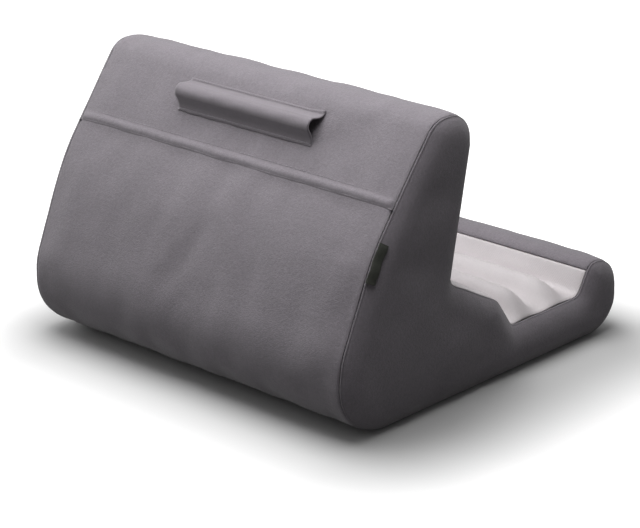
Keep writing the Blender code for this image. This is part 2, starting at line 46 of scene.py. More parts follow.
# The block inside is one piece of firm upholstery foam, cut with a wire to this side view:
# a wedge-shaped bolster, a sloping ledge, a tray with two cross ridges and a front roll.
# It is only pushed into the cover, and the cloth presses it in along the zip.
side_view = {
    "foot": (0.03456, 0.07500, 0.006),
    "top front": (0.01656, 0.17800, 0.020),
    "top back": (0.05438, 0.17800, 0.020),
    "knee": (0.10420, 0.11140, 0.160),
    "heel": (0.15149, 0.00000, 0.041),
    "toe": (-0.13044, 0.00000, 0.026),
    "roll top": (-0.13044, 0.05050, 0.023),
    "lip": (-0.10044, 0.05050, 0.010),
    "floor front": (-0.08994, 0.03150, 0.005),
    "floor rear": (-0.02544, 0.03150, 0.005),
    "step": (-0.01044, 0.05200, 0.015),
}
top_height = 0.178
seam_half, seam_lean = 0.127, 0.003
end_face, end_lean = 0.134, 0.0022
end_round, end_turn = 0.014, math.radians(66.0)
end_drop, end_margin = 0.0015, 0.022
ridges = ((-0.04044, 0.0125), (-0.07244, 0.0095))
ridge_half, ridge_runout = 0.015, 0.020


def unit(vector):
    return vector / np.linalg.norm(vector)


def turned(vector, angle):
    cos, sin = math.cos(angle), math.sin(angle)
    return np.array((vector[0] * cos - vector[1] * sin, vector[0] * sin + vector[1] * cos))


def rounded_outline(corners, arc_step=0.0008, arc_turn=0.07):
    """Points and outward normals round the side view, and where each bend starts and ends."""
    names = list(corners)
    points, normals, spans = [], [], {}
    for index, name in enumerate(names):
        here = np.array(corners[name][:2])
        before = np.array(corners[names[index - 1]][:2])
        after = np.array(corners[names[(index + 1) % len(names)]][:2])
        radius = corners[name][2]
        arriving, leaving = unit(here - before), unit(after - here)
        turn = math.atan2(arriving[0] * leaving[1] - arriving[1] * leaving[0], arriving @ leaving)
        first = here - arriving * radius * math.tan(abs(turn) / 2.0)
        facing = np.array((-arriving[1], arriving[0]))
        side = 1.0 if turn < 0.0 else -1.0
        middle = first - facing * radius * side
        steps = max(4, math.ceil(abs(turn) * radius / arc_step), math.ceil(abs(turn) / arc_turn))
        spans[name] = (len(points), len(points) + steps)
        for step in range(steps + 1):
            normal = turned(facing, turn * step / steps)
            points.append(middle + normal * radius * side)
            normals.append(normal)
    points, normals = np.array(points), np.array(normals)
    gaps = np.linalg.norm(np.roll(points, -1, axis=0) - points, axis=1)
    travel = np.concatenate(([0.0], np.cumsum(gaps)))
    bends = {name: (travel[a], travel[b]) for name, (a, b) in spans.items()}
    return points, normals, travel, bends


outline, facings, outline_travel, bends = rounded_outline(side_view)
lap = outline_travel[-1]
two_laps = np.concatenate((outline_travel[:-1], outline_travel + lap))
lap_points = np.vstack((outline, outline, outline[:1]))
lap_facings = np.vstack((facings, facings, facings[:1]))


def on_outline(travel):
    """Place and outward normal in the side view after a distance round it."""
    travel = np.asarray(travel, float)
    place = np.stack([np.interp(travel, two_laps, lap_points[:, k]) for k in (0, 1)], axis=-1)
    facing = np.stack([np.interp(travel, two_laps, lap_facings[:, k]) for k in (0, 1)], axis=-1)
    return place, facing / np.linalg.norm(facing, axis=-1, keepdims=True)


def ridge_height(travel, y):
    """Height of the two padded ridges over the tray floor."""
    on_floor = (travel > bends["floor front"][0]) & (travel < bends["floor rear"][1])
    height = np.zeros_like(y)
    for crest, rise in ridges:
        offset = np.clip(np.abs(y - crest) / ridge_half, 0.0, 1.0)
        height += rise * np.cos(offset * math.pi / 2.0) ** 2
    return height * on_floor


def half_width(height):
    """How far the end seams lie from the middle at a height: they lean out."""
    return seam_half + seam_lean * height / top_height


def clear_of_table(facing_up):
    """One where the outline faces sideways or up, falling to none where it faces the table."""
    return np.clip(1.0 + 2.5 * facing_up, 0.0, 1.0)


def seam_line(travel):
    """The end seam in the side view, a little inside the outline except underneath."""
    place, facing = on_outline(travel)
    return place - facing * end_drop * clear_of_table(facing[..., 1:2]), facing


def filled_form(travel, x):
    """Grid of points of the filled cover: rows round the side view, columns along the width."""
    place, facing = on_outline(travel)
    inside = np.clip((np.abs(x) - (seam_half - end_margin)) / end_margin, 0.0, None)
    drop = end_drop * clear_of_table(facing[:, 1])[:, None] * inside[None, :] ** 2
    room = np.clip((seam_half - np.abs(x)) / ridge_runout, 0.0, 1.0)
    runout = np.sin(room * math.pi / 2.0)
    rise = ridge_height(travel, place[:, 0])
    grid = np.empty((len(travel), len(x), 3))
    grid[..., 1] = place[:, None, 0] - facing[:, None, 0] * drop
    grid[..., 2] = place[:, None, 1] - facing[:, None, 1] * drop
    grid[..., 0] = x[None, :] * half_width(grid[..., 2]) / seam_half
    grid[..., 2] += rise[:, None] * runout
    return grid


def grid_normals(grid):
    """Unit normals of a grid of points."""
    along = np.gradient(grid, axis=0)
    across = np.gradient(grid, axis=1)
    normals = np.cross(across, along)
    return normals / np.maximum(np.linalg.norm(normals, axis=-1, keepdims=True), 1e-12)


def grid_faces(rows, columns, start=0):
    """Quads between the rows and columns of a grid."""
    index = np.arange(rows * columns).reshape(rows, columns) + start
    quads = np.stack((index[:-1, :-1], index[:-1, 1:], index[1:, 1:], index[1:, :-1]), axis=-1)
    return quads.reshape(-1, 4).tolist()


def ring_distance(points, ring):
    """Shortest distance in the side view from each point to a closed ring of points."""
    start, run = ring, np.roll(ring, -1, axis=0) - ring
    length = np.maximum((run ** 2).sum(axis=1), 1e-18)
    offset = points[:, None, :] - start[None, :, :]
    share = np.clip((offset * run[None, :, :]).sum(axis=2) / length, 0.0, 1.0)
    nearest = offset - share[..., None] * run[None, :, :]
    return np.sqrt((nearest ** 2).sum(axis=2).min(axis=1))


def in_ring(points, ring):
    """Even-odd test of points against a closed ring."""
    following = np.roll(ring, -1, axis=0)
    inside = np.zeros(len(points), bool)
    for (y0, z0), (y1, z1) in zip(ring, following):
        if z0 == z1:
            continue
        crosses = (z0 > points[:, 1]) != (z1 > points[:, 1])
        inside ^= crosses & (points[:, 0] < y0 + (points[:, 1] - z0) * (y1 - y0) / (z1 - z0))
    return inside


def end_form(travel, rings, spacing):
    """One filled end, as (points, how far out, faces, distance in from the seam)."""
    seam, facing = seam_line(travel)
    angles = np.linspace(0.0, 1.0, rings + 1) * end_turn
    insets = end_round * (1.0 - np.cos(angles))
    layers = [seam - facing * inset for inset in insets]
    count = len(travel)
    flat = np.vstack(layers)
    index = np.arange((rings + 1) * count).reshape(rings + 1, count)
    after = np.roll(index, -1, axis=1)
    quads = np.stack((index[:-1], after[:-1], after[1:], index[1:]), axis=-1)
    faces = quads.reshape(-1, 4).tolist()
    inner = layers[-1]
    low, high = seam.min(axis=0), seam.max(axis=0)
    fill = []
    row_step = spacing * math.sqrt(0.75)
    for row in range(int((high[1] - low[1]) / row_step) + 2):
        shift = 0.5 * (row % 2)
        for column in range(int((high[0] - low[0]) / spacing) + 2):
            fill.append((low[0] + (column + shift) * spacing, low[1] + row * row_step))
    fill = np.array(fill)
    fill = fill[in_ring(fill, inner)]
    fill = fill[ring_distance(fill, inner) > spacing * 0.55]
    coords = [Vector(point) for point in np.vstack((inner, fill))]
    result = delaunay_2d_cdt(coords, [], [list(range(count))], 1, 1e-8)
    base = rings * count
    flat = np.vstack((flat[:base], np.array([tuple(point) for point in result[0]])))
    faces += [[base + index for index in face] for face in result[2]]
    distance = np.concatenate((np.repeat(insets[:-1], count), ring_distance(flat[base:], seam)))
    share = np.clip(distance / end_round, 0.0, 1.0)
    edge = half_width(flat[:, 1])
    # the end rounds out from its seam, less steeply than a full quarter round
    arc = 1.0 - (1.0 - share) ** 2
    rise = 0.3 * np.sqrt(arc) + 0.7 * arc
    out = edge + (end_face + end_lean * flat[:, 1] / top_height - edge) * rise
    return flat, out, faces, distance


def mesh_object(name, points, faces, edges=()):
    """A shown object from points and faces or edges, its place in its mesh."""
    mesh = bpy.data.meshes.new(name)
    mesh.from_pydata([tuple(point) for point in points], edges, faces)
    mesh.update()
    item = bpy.data.objects.new(name, mesh)
    scene.collection.objects.link(item)
    return item


def shaded_smooth(item):
    """Shade every face of an object smooth."""
    item.data.polygons.foreach_set("use_smooth", [True] * len(item.data.polygons))


def turned_outwards(item, merge):
    """Merge doubles and point a closed surface's faces outwards, shaded smooth."""
    shape = bmesh.new()
    shape.from_mesh(item.data)
    bmesh.ops.remove_doubles(shape, verts=shape.verts, dist=merge)
    bmesh.ops.recalc_face_normals(shape, faces=shape.faces)
    for face in shape.faces:
        face.smooth = True
    shape.to_mesh(item.data)
    shape.free()
    item.data.update()


def filled_shell(name, row_step, column_step, cap_rings, cap_spacing):
    """The whole filled form as one closed surface."""
    travel = np.linspace(0.0, lap, int(lap / row_step) + 1)
    columns = np.linspace(-seam_half, seam_half, int(2 * seam_half / column_step) + 1)
    grid = filled_form(travel, columns)
    points = [grid.reshape(-1, 3)]
    faces = grid_faces(*grid.shape[:2])
    start = grid.shape[0] * grid.shape[1]
    for side in (-1.0, 1.0):
        flat, out, cap_faces, _ = end_form(travel[:-1], cap_rings, cap_spacing)
        points.append(np.column_stack((side * out, flat)))
        faces += [[start + index for index in face] for face in cap_faces]
        start += len(flat)
    item = mesh_object(name, np.vstack(points), faces)
    turned_outwards(item, 1e-5)
    return item


def made_plain(item):
    """Replace an object's modifiers with their result."""
    graph = bpy.context.evaluated_depsgraph_get()
    mesh = bpy.data.meshes.new_from_object(item.evaluated_get(graph))
    old = item.data
    item.modifiers.clear()
    item.data = mesh
    bpy.data.meshes.remove(old)


def link(tree, source, target):
    tree.links.new(source, target)


def node(tree, kind, given=(), **values):
    """A node with some properties set, and with sockets or fixed values given to its inputs."""
    item = tree.nodes.new(kind)
    for key, value in values.items():
        setattr(item, key, value)
    for key, value in dict(given).items():
        if isinstance(value, bpy.types.NodeSocket):
            link(tree, value, item.inputs[key])
        else:
            item.inputs[key].default_value = value
    return item


def math_node(tree, operation, *given):
    """What a Math node makes of sockets or numbers."""
    return node(tree, "ShaderNodeMath", enumerate(given), operation=operation).outputs[0]


def object_place(tree):
    """Places on the object itself, for a pattern to follow."""
    return node(tree, "ShaderNodeTexCoord").outputs["Object"]


def noise_node(tree, place, scale, detail=2.0, roughness=0.5):
    """An uneven pattern from 0 to 1."""
    given = {"Vector": place, "Scale": scale, "Detail": detail, "Roughness": roughness}
    return node(tree, "ShaderNodeTexNoise", given).outputs["Fac"]


def bands_node(tree, place, direction, scale, distortion=0.0):
    """Even bands from 0 to 1, for ribs, plies and twill."""
    given = {"Vector": place, "Scale": scale, "Distortion": distortion}
    return node(tree, "ShaderNodeTexWave", given, wave_type="BANDS",
                bands_direction=direction).outputs["Fac"]


def varied(tree, base, pattern, size):
    """A value made uneven, to both sides, by a pattern from 0 to 1."""
    centred = math_node(tree, "SUBTRACT", pattern, 0.5)
    return math_node(tree, "MULTIPLY_ADD", centred, size, base)


def remapped(tree, value, to_low, to_high, low=0.0, high=1.0, blend="LINEAR"):
    """A value moved to a new range from its own, which is mostly 0 to 1."""
    given = enumerate((value, low, high, to_low, to_high))
    return node(tree, "ShaderNodeMapRange", given, interpolation_type=blend).outputs[0]


def new_finish(name, roughness=0.8, metallic=0.0, sheen=0.0, specular=0.5):
    """A material without a colour yet, its shader and its tree."""
    finish = bpy.data.materials.new(name)
    finish.use_nodes = True
    shader = finish.node_tree.nodes["Principled BSDF"]
    for key, value in (("Roughness", roughness), ("Metallic", metallic),
                       ("Sheen Weight", sheen), ("Specular IOR Level", specular)):
        shader.inputs[key].default_value = value
    return finish, shader, finish.node_tree


def coloured(tree, shader, colour, tone, height, depth):
    """Give a finish its colour times a tone, and a fine relief."""
    shade = node(tree, "ShaderNodeVectorMath", {0: colour, "Scale": tone}, operation="SCALE")
    link(tree, shade.outputs[0], shader.inputs["Base Color"])
    relief = node(tree, "ShaderNodeBump", {"Strength": 1.0, "Distance": depth, "Height": height})
    link(tree, relief.outputs["Normal"], shader.inputs["Normal"])


def foam_finish():
    """Cut foam: small open cells, with painted shade in the grooves along the cell edges."""
    finish, shader, tree = new_finish("cut_foam", 0.95)
    where = object_place(tree)
    cells = node(tree, "ShaderNodeTexVoronoi", {"Vector": where, "Scale": 900.0},
                 feature="DISTANCE_TO_EDGE")
    walls = remapped(tree, cells.outputs["Distance"], 0.0, 1.0, 0.0, 0.25)
    age = noise_node(tree, where, 22.0, 3.0)
    tone = math_node(tree, "MULTIPLY_ADD", age, 0.16, 0.84)
    # painted shade: the tone drops in the grooves along the cell edges, where the relief is lowest
    tone = math_node(tree, "MULTIPLY", tone, remapped(tree, walls, 0.9, 1.02))
    coloured(tree, shader, (0.72, 0.70, 0.62), tone, walls, 0.0003)
    return finish


# the cloth stands this far out of the foam, and the zip sits in the foam this deep
foam_inset, zip_bed_depth, zip_bed_reach = 0.0030, 0.0062, 0.0060
zip_travel, zip_half_length, zip_bed_half = bends["top back"][1] + 0.0343, 0.1035, 0.0135

foam = filled_shell("foam_block", 0.0030, 0.0042, 5, 0.006)
shape = bmesh.new()
shape.from_mesh(foam.data)
shape.normal_update()
zip_point, zip_facing = on_outline(zip_travel)
down_slope = np.array((zip_facing[1], -zip_facing[0]))
moves = [(vert, vert.normal.copy(), min(vert.calc_shell_factor(), 1.4)) for vert in shape.verts]
for vert, normal, sharpness in moves:
    inset = foam_inset * sharpness
    offset = np.array((vert.co.y, vert.co.z)) - zip_point
    if abs(offset @ zip_facing) < zip_bed_reach:
        across = abs(offset @ down_slope) / zip_bed_half
        past_end = abs(vert.co.x) - zip_half_length + zip_bed_reach
        along = max(0.0, past_end / (2.0 * zip_bed_reach))
        bed = max(0.0, 1.0 - max(0.0, across - 0.6) / 0.4) * max(0.0, 1.0 - along)
        inset += zip_bed_depth * bed
    vert.co -= normal * inset
shape.to_mesh(foam.data)
shape.free()
foam.data.materials.append(foam_finish())
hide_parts("foam_core")
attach(foam, "stand")


# The cover's cloth is sewn a little larger than the foam and pulled over it. It stands off
# the foam in soft swells between the seams, which hold it down. A cloth simulation of the
# whole closed cover, held at its seams, gives those swells; the panels are cut from it.
seam_travel = {
    "foot": bends["foot"][1],
    "hem": bends["top back"][1] + 0.0433,
    "heel": bends["heel"][1],
    "toe": bends["toe"][0],
    "lip": bends["lip"][1],
}
sleeve_travel, sleeve_half = bends["top back"][1] + 0.0141, 0.0109
sleeve_ends = (-0.0564, 0.0532)
swell_share, swell_limit, swell_sink = 0.42, 0.0016, 0.0006
held_reach, held_weight, loose_weight, table_reach = 0.0045, 1.0, 0.10, 0.002
start_sink, start_waves, filling_steps = 0.0008, 0.0007, 20


def seam_points(apart=0.003):
    """Points along every seam of the cover, a few millimetres apart."""
    found = []
    flat = seam_line(np.arange(0.0, lap, apart))[0]
    for side in (-1.0, 1.0):
        found.append(np.column_stack((side * half_width(flat[:, 1]), flat)))
    columns = np.arange(-seam_half, seam_half, apart)
    for travel in seam_travel.values():
        found.append(filled_form(np.array([travel]), columns)[0])
    for travel in (sleeve_travel - sleeve_half, sleeve_travel, sleeve_travel + sleeve_half):
        found.append(filled_form(np.array([travel]), np.arange(*sleeve_ends, apart))[0])
    return np.vstack(found)


def tree_of(points):
    """A search tree over points."""
    tree = kdtree.KDTree(len(points))
    for index, point in enumerate(points):
        tree.insert(point, index)
    tree.balance()
    return tree


def vertex_vectors(mesh, key):
    """A vector of each vertex of a mesh: its place or its normal."""
    values = np.empty(len(mesh.vertices) * 3)
    mesh.vertices.foreach_get(key, values)
    return values.reshape(-1, 3)


def simulated_swell():
    """Rest places on the cover and how far the filled cloth moved from each of them."""
    cloth = filled_shell("swelling_cover", 0.004, 0.005, 5, 0.006)
    remesh = cloth.modifiers.new("even_mesh", "REMESH")
    remesh.mode = "VOXEL"
    remesh.voxel_size = 0.0052
    made_plain(cloth)
    mesh = cloth.data
    rest, normals = vertex_vectors(mesh, "co"), vertex_vectors(mesh, "normal")
    seams = tree_of(seam_points())
    held = cloth.vertex_groups.new(name="held")
    start = rest - normals * start_sink
    for index in range(len(rest)):
        start[index] += normals[index] * start_waves * noise.noise(Vector(rest[index]) * 38.0)
        at_seam = seams.find(rest[index])[2] < held_reach
        on_table = rest[index][2] < table_reach
        held.add([index], held_weight if at_seam or on_table else loose_weight, "REPLACE")
    mesh.vertices.foreach_set("co", start.ravel())
    mesh.update()
    settings = cloth.modifiers.new("cloth", "CLOTH").settings
    settings.quality = 5
    settings.mass = 0.25
    settings.tension_stiffness = 12.0
    settings.compression_stiffness = 12.0
    settings.shear_stiffness = 6.0
    settings.bending_stiffness = 0.4
    settings.use_pressure = True
    settings.uniform_pressure_force = 4.0
    settings.vertex_group_mass = "held"
    settings.pin_stiffness = 0.6
    settings.shrink_min = -0.018
    settings.effector_weights.gravity = 0.0
    for frame_number in range(1, filling_steps + 1):
        scene.frame_set(frame_number)
    made_plain(cloth)
    moved = vertex_vectors(cloth.data, "co")
    bpy.data.objects.remove(cloth)
    scene.frame_set(1)
    return rest, ((moved - rest) * normals).sum(axis=1)


swell_places, swell_amounts = simulated_swell()
swell_amounts = (swell_amounts - np.median(swell_amounts)) * swell_share
swell_tree = tree_of(swell_places)


def swell_at(points):
    """How far the cloth stands out at each point, from the simulation."""
    if swell_places is None:
        return np.array([0.0005 * noise.noise(Vector(p) * 30.0) for p in points])
    found = np.empty(len(points))
    for index, point in enumerate(points):
        near = swell_tree.find_n(point, 9)
        weights = [1.0 / (gap * gap + 3e-5) for _, _, gap in near]
        amounts = [swell_amounts[item] for _, item, _ in near]
        found[index] = sum(w * a for w, a in zip(weights, amounts)) / sum(weights)
    return np.clip(found, -swell_sink, swell_limit)


def spaced(first, last, step):
    """Places from one seam to the next, close together beside both of them."""
    near = np.array((0.0, 0.0003, 0.0007, 0.0012, 0.0019, 0.0028, 0.0039, 0.0052, 0.0068))
    inner_first, inner_last = first + near[-1], last - near[-1]
    count = max(1, round((inner_last - inner_first) / step))
    middle = np.linspace(inner_first, inner_last, count + 1)
    return np.concatenate((first + near[:-1], middle, (last - near[:-1])[::-1]))


def seam_roll(distance, depth, reach):
    """How far the cloth turns in beside a seam."""
    share = np.clip(distance / reach, 0.0, 1.0)
    return depth * (1.0 - np.sqrt(1.0 - (1.0 - share) ** 2))


seam_depth, seam_reach, seam_gap = 0.0009, 0.0024, 0.00012
cloth_thickness, swell_fade = 0.0013, 0.010
columns = spaced(-seam_half + seam_gap, seam_half - seam_gap, 0.0028)


def seam_pucker(x, travel, distance, size=0.00022, scale=95.0, reach=0.0065):
    """Small gathers beside a seam, which fade away from it."""
    wave = np.array([[noise.noise(Vector((a * scale, b * scale, 3.7))) for a in x]
                     for b in travel])
    return size * wave * np.exp(-(distance / reach) ** 2)


def sewn_grid(travel, x, first, last, row_depth=None):
    """A panel's outer face: the filled form, its swell, and its edges turned in at the seams."""
    grid = filled_form(travel, x)
    normals = grid_normals(grid)
    to_end = (seam_half - np.abs(x))[None, :]
    to_first = (travel - first)[:, None]
    to_last = (last - travel)[:, None]
    turned_in = seam_roll(to_end, seam_depth, seam_reach)
    first_depth, last_depth = row_depth or (seam_depth, seam_depth)
    turned_in = np.maximum(turned_in, seam_roll(to_first, first_depth, seam_reach))
    turned_in = np.maximum(turned_in, seam_roll(to_last, last_depth, seam_reach))
    nearest = np.minimum(np.minimum(to_end, to_first), to_last)
    swell = swell_at(grid.reshape(-1, 3)).reshape(grid.shape[:2])
    swell = swell * np.clip(nearest / swell_fade, 0.0, 1.0)
    swell += seam_pucker(x, travel, nearest)
    return grid + normals * (swell - turned_in)[..., None], normals


def thickened(item):
    """Give an open panel the thickness of its cloth, inwards."""
    solid = item.modifiers.new("cloth", "SOLIDIFY")
    solid.thickness = cloth_thickness
    solid.offset = -1.0
    solid.use_even_offset = False
    made_plain(item)
    shaded_smooth(item)
    return item


def sewn_panel(name, grid, finish):
    """A panel of the cover as a thin closed shell."""
    faces = grid_faces(*grid.shape[:2])
    item = thickened(mesh_object(name, grid.reshape(-1, 3), faces))
    item.data.materials.append(finish)
    return item


def suede_nap_group():
    """Brushed short pile: tone, roughness and height."""
    group = bpy.data.node_groups.new("suede_nap", "ShaderNodeTree")
    face = group.interface
    face.new_socket("Brushing", in_out="INPUT", socket_type="NodeSocketFloat")
    face.new_socket("Fibre", in_out="INPUT", socket_type="NodeSocketFloat")
    for name in ("Tone", "Roughness", "Height"):
        face.new_socket(name, in_out="OUTPUT", socket_type="NodeSocketFloat")
    given = node(group, "NodeGroupInput").outputs
    result = node(group, "NodeGroupOutput").inputs
    where = object_place(group)
    swept = node(group, "ShaderNodeMapping", {"Vector": where, "Scale": (1.0, 0.55, 0.55)})
    patches = noise_node(group, swept.outputs[0], 26.0, 3.0, 0.55)
    strokes = noise_node(group, swept.outputs[0], 120.0, 4.0, 0.6)
    fibres = noise_node(group, where, 1500.0, 3.0, 0.65)
    flecks = noise_node(group, where, 620.0, 2.0, 0.6)
    stroked = varied(group, varied(group, 0.0, patches, 1.2), strokes, 0.8)
    sweep = math_node(group, "MULTIPLY", stroked, given["Brushing"])
    grain = math_node(group, "ADD", math_node(group, "SUBTRACT", fibres, 0.5),
                      math_node(group, "SUBTRACT", flecks, 0.5))
    grain = math_node(group, "MULTIPLY", grain, given["Fibre"])
    tone = math_node(group, "ADD", math_node(group, "ADD", sweep, grain), 1.0)
    link(group, tone, result["Tone"])
    link(group, math_node(group, "MULTIPLY_ADD", fibres, 0.12, 0.80), result["Roughness"])
    link(group, math_node(group, "MULTIPLY_ADD", flecks, 0.7, fibres), result["Height"])
    return group


suede_nap = suede_nap_group()


def nap_outputs(tree, brushing, fibre):
    """The nap, as much brushed and as fibrous as asked."""
    given = {"Brushing": brushing, "Fibre": fibre}
    return node(tree, "ShaderNodeGroup", given, node_tree=suede_nap).outputs


def suede_finish(name, colour, brushing, fibre, relief, sheen=0.25):
    """Suede-like cloth of one colour."""
    finish, shader, tree = new_finish(name, 0.85, 0.0, sheen, 0.25)
    shader.inputs["Sheen Roughness"].default_value = 0.55
    nap = nap_outputs(tree, brushing, fibre)
    coloured(tree, shader, colour, nap["Tone"], nap["Height"], relief)
    link(tree, nap["Roughness"], shader.inputs["Roughness"])
    return finish


suede_grey, suede_relief = (0.196, 0.178, 0.198), 0.00022
cover_suede = suede_finish("cover_suede", suede_grey, 0.16, 0.40, suede_relief)


# The bolster's panel is one strip of the suede-like cloth. It starts at the bolster's foot,
# goes up its front, over its round top and down the upper back, and ends in a soft hem that
# laps over the zip. The hem is the cloth turned under along its edge and stitched down.
hem_height, hem_start, hem_reach = 0.0012, 0.0045, 0.0044
hem_shift, hem_blend, hem_stitch_row = 0.0006, 0.0046, 0.0036
hem_wander, hem_ripple, hem_unevenness = 0.0006, 0.0002, 0.22
hem_end_gap, hem_runout = 0.0010, 0.0030
# across the hem: how far down the slope from its middle, and the share of its height
hem_section = (
    (-0.0044, 0.0), (-0.0037, 0.03), (-0.0031, 0.10), (-0.0026, 0.22), (-0.0021, 0.40),
    (-0.0016, 0.61), (-0.0011, 0.81), (-0.0006, 0.94), (0.0, 1.0), (0.0006, 0.95),
    (0.0012, 0.81), (0.0018, 0.58), (0.0024, 0.32), (0.0029, 0.07), (0.0033, -0.12),
    (0.0035, -0.25), (0.0032, -0.45))

first, last = seam_travel["foot"] + seam_gap, seam_travel["hem"]
travel = spaced(first, last, 0.0030)
travel = travel[travel < last - hem_start]
grid, normals = sewn_grid(travel, columns, first, last + 0.02)
edge = filled_form(np.array([last - 0.0002, last, last + 0.0002]), columns)
edge_normals = grid_normals(edge)[1]
edge_down = edge[2] - edge[0]
edge_down /= np.linalg.norm(edge_down, axis=1, keepdims=True)
# the hem wanders a little up and down, is uneven in height and dies away at both ends
wander = np.array([noise.noise(Vector((x * 42.0, 0.3, 0.0))) for x in columns])
fat = np.array([noise.noise(Vector((x * 110.0, 5.1, 0.0))) for x in columns])
full = np.clip((seam_half - hem_end_gap - np.abs(columns)) / hem_runout, 0.0, 1.0)
height = hem_height * (1.0 + hem_unevenness * fat) * full * (2.0 - full)
shift = hem_shift + hem_wander * wander + hem_ripple * fat
# it starts from the height that the swell has given the last row of the panel
end_in = seam_roll(seam_half - np.abs(columns), seam_depth, seam_reach)
above = ((grid[-1] - filled_form(travel[-1:], columns)[0]) * normals[-1]).sum(axis=1) + end_in
rows = [grid]
for down, lift in hem_section:
    moved = down + shift * min(1.0, 1.0 + down / hem_blend)
    raised = lift * height - end_in + above * max(0.0, -down / hem_reach)
    rows.append((edge[1] + edge_down * moved[:, None] + edge_normals * raised[:, None])[None])
# the stitches lie on the cloth above the hem and stop short of the end seams
lifted, short = edge_normals * (0.0001 + 0.8 * above)[:, None], slice(12, -12)
hem_stitching = (edge[1] - edge_down * hem_stitch_row + lifted)[short]
hem_facing = edge_normals[short]
bolster = sewn_panel("bolster_cover", np.concatenate(rows), cover_suede)
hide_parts("bolster_panel")
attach(bolster, "stand")


# The lower back is a second strip of the same cloth, from under the hem down the back and
# round the heel to the seam at the edge of the base. The zip is sewn to its upper edge.
# Under the hem's lip the cloth is tucked in. Below the lip it dips and comes slowly out again.
tuck_depth, tuck_reach, lip_edge = 0.0016, 0.0024, 0.0035
dip_start, dip_depth, dip_reach, dip_return = 0.0001, 0.0009, 0.0080, 0.0450


def eased(share):
    """A share from 0 to 1 with a soft start and end."""
    return share * share * (3.0 - 2.0 * share)


first, last = seam_travel["hem"] + 0.0004, seam_travel["heel"] - seam_gap
travel = spaced(first, last, 0.0032)
grid, normals = sewn_grid(travel, columns, first, last, (0.0, seam_depth))
below_hem = (travel - first)[:, None]
out_of_tuck = np.clip(below_hem / tuck_reach, 0.0, 1.0)
past_lip = np.clip((below_hem - lip_edge) / dip_reach, 0.0, 1.0)
back_out = np.clip((below_hem - lip_edge - dip_reach) / dip_return, 0.0, 1.0)
dip = (dip_start + dip_depth * (1.0 - (1.0 - past_lip) ** 2)) * (1.0 - eased(back_out))
from_end = np.clip((seam_half - np.abs(columns)) / 0.012, 0.0, 1.0)
tuck = tuck_depth * (1.0 - eased(out_of_tuck)) + dip * from_end
lower_back = sewn_panel("lower_back_cover", grid - normals * tuck[..., None], cover_suede)
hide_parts("back_lower_panel")
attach(lower_back, "stand")


# The front roll is a narrow strip round the soft roll that closes the tray, from the edge
# of the base up and over to the light lining.
first, last = seam_travel["toe"] + seam_gap, seam_travel["lip"] - seam_gap
travel = spaced(first, last, 0.0028)
grid, _ = sewn_grid(travel, columns, first, last)
front_roll = sewn_panel("front_roll_cover", grid, cover_suede)
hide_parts("front_roll_panel")
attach(front_roll, "stand")


# The base is a plain, flat panel of non-slip cloth with rows of small rubber dots, sewn in
# between the heel and the front roll.
first, last = seam_travel["heel"] + seam_gap, seam_travel["toe"] - seam_gap
travel = spaced(first, last, 0.0050)
grid, _ = sewn_grid(travel, columns, first, last)
grid[..., 2] = np.maximum(grid[..., 2], 0.0)


def non_slip_finish():
    """Napped cloth with even rows of small rubber dots."""
    finish, shader, tree = new_finish("non_slip_base", 0.8, 0.0, 0.1, 0.3)
    nap = nap_outputs(tree, 0.1, 0.5)
    rows_of_dots = {"Vector": object_place(tree), "Scale": 220.0, "Randomness": 0.0}
    dots = node(tree, "ShaderNodeTexVoronoi", rows_of_dots, feature="F1")
    dot = remapped(tree, dots.outputs["Distance"], 1.0, 0.0, 0.20, 0.26)
    tone = math_node(tree, "MULTIPLY", nap["Tone"], remapped(tree, dot, 1.0, 0.45))
    raised = math_node(tree, "MULTIPLY_ADD", dot, 2.0, nap["Height"])
    coloured(tree, shader, (0.105, 0.098, 0.106), tone, raised, 0.0002)
    link(tree, remapped(tree, dot, 0.9, 0.5), shader.inputs["Roughness"])
    return finish


base = sewn_panel("base_cover", grid, non_slip_finish())
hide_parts("base_panel")
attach(base, "stand")


# The tray's lining is a smooth light cloth with a slight lustre. It runs from the front
# roll over the tray's two padded ridges and up the ledge to the bolster's foot.
first, last = seam_travel["lip"] + seam_gap, lap + seam_travel["foot"] - seam_gap
travel = spaced(first, last, 0.0020)
grid, _ = sewn_grid(travel, columns, first, last)


def lining_finish():
    """Light twill with a slight lustre and uneven threads."""
    finish, shader, tree = new_finish("lining_satin", 0.5, 0.0, 0.15, 0.35)
    where = object_place(tree)
    twill = bands_node(tree, where, "DIAGONAL", 420.0, 1.2)
    cloud = noise_node(tree, where, 40.0, 3.0)
    slub = noise_node(tree, where, 700.0, 2.0)
    tone = varied(tree, varied(tree, 1.0, cloud, 0.10), slub, 0.10)
    threads = math_node(tree, "MULTIPLY_ADD", slub, 0.6, twill)
    coloured(tree, shader, (0.555, 0.520, 0.532), tone, threads, 0.00008)
    link(tree, remapped(tree, slub, 0.46, 0.60), shader.inputs["Roughness"])
    return finish


lining = sewn_panel("tray_lining_cloth", grid, lining_finish())
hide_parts("tray_lining")
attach(lining, "stand")


# Each end is one shaped panel of the suede-like cloth, puffed out by the foam and sewn
# round its whole edge to the strips and the lining.
end_travel = np.linspace(0.0, lap, 300)[:-1]
end_puff, end_puff_reach, end_swell_reach = 0.0008, 0.020, 0.008
end_pucker, end_pucker_reach, end_seam_narrow = 0.0002, 0.006, 1.35


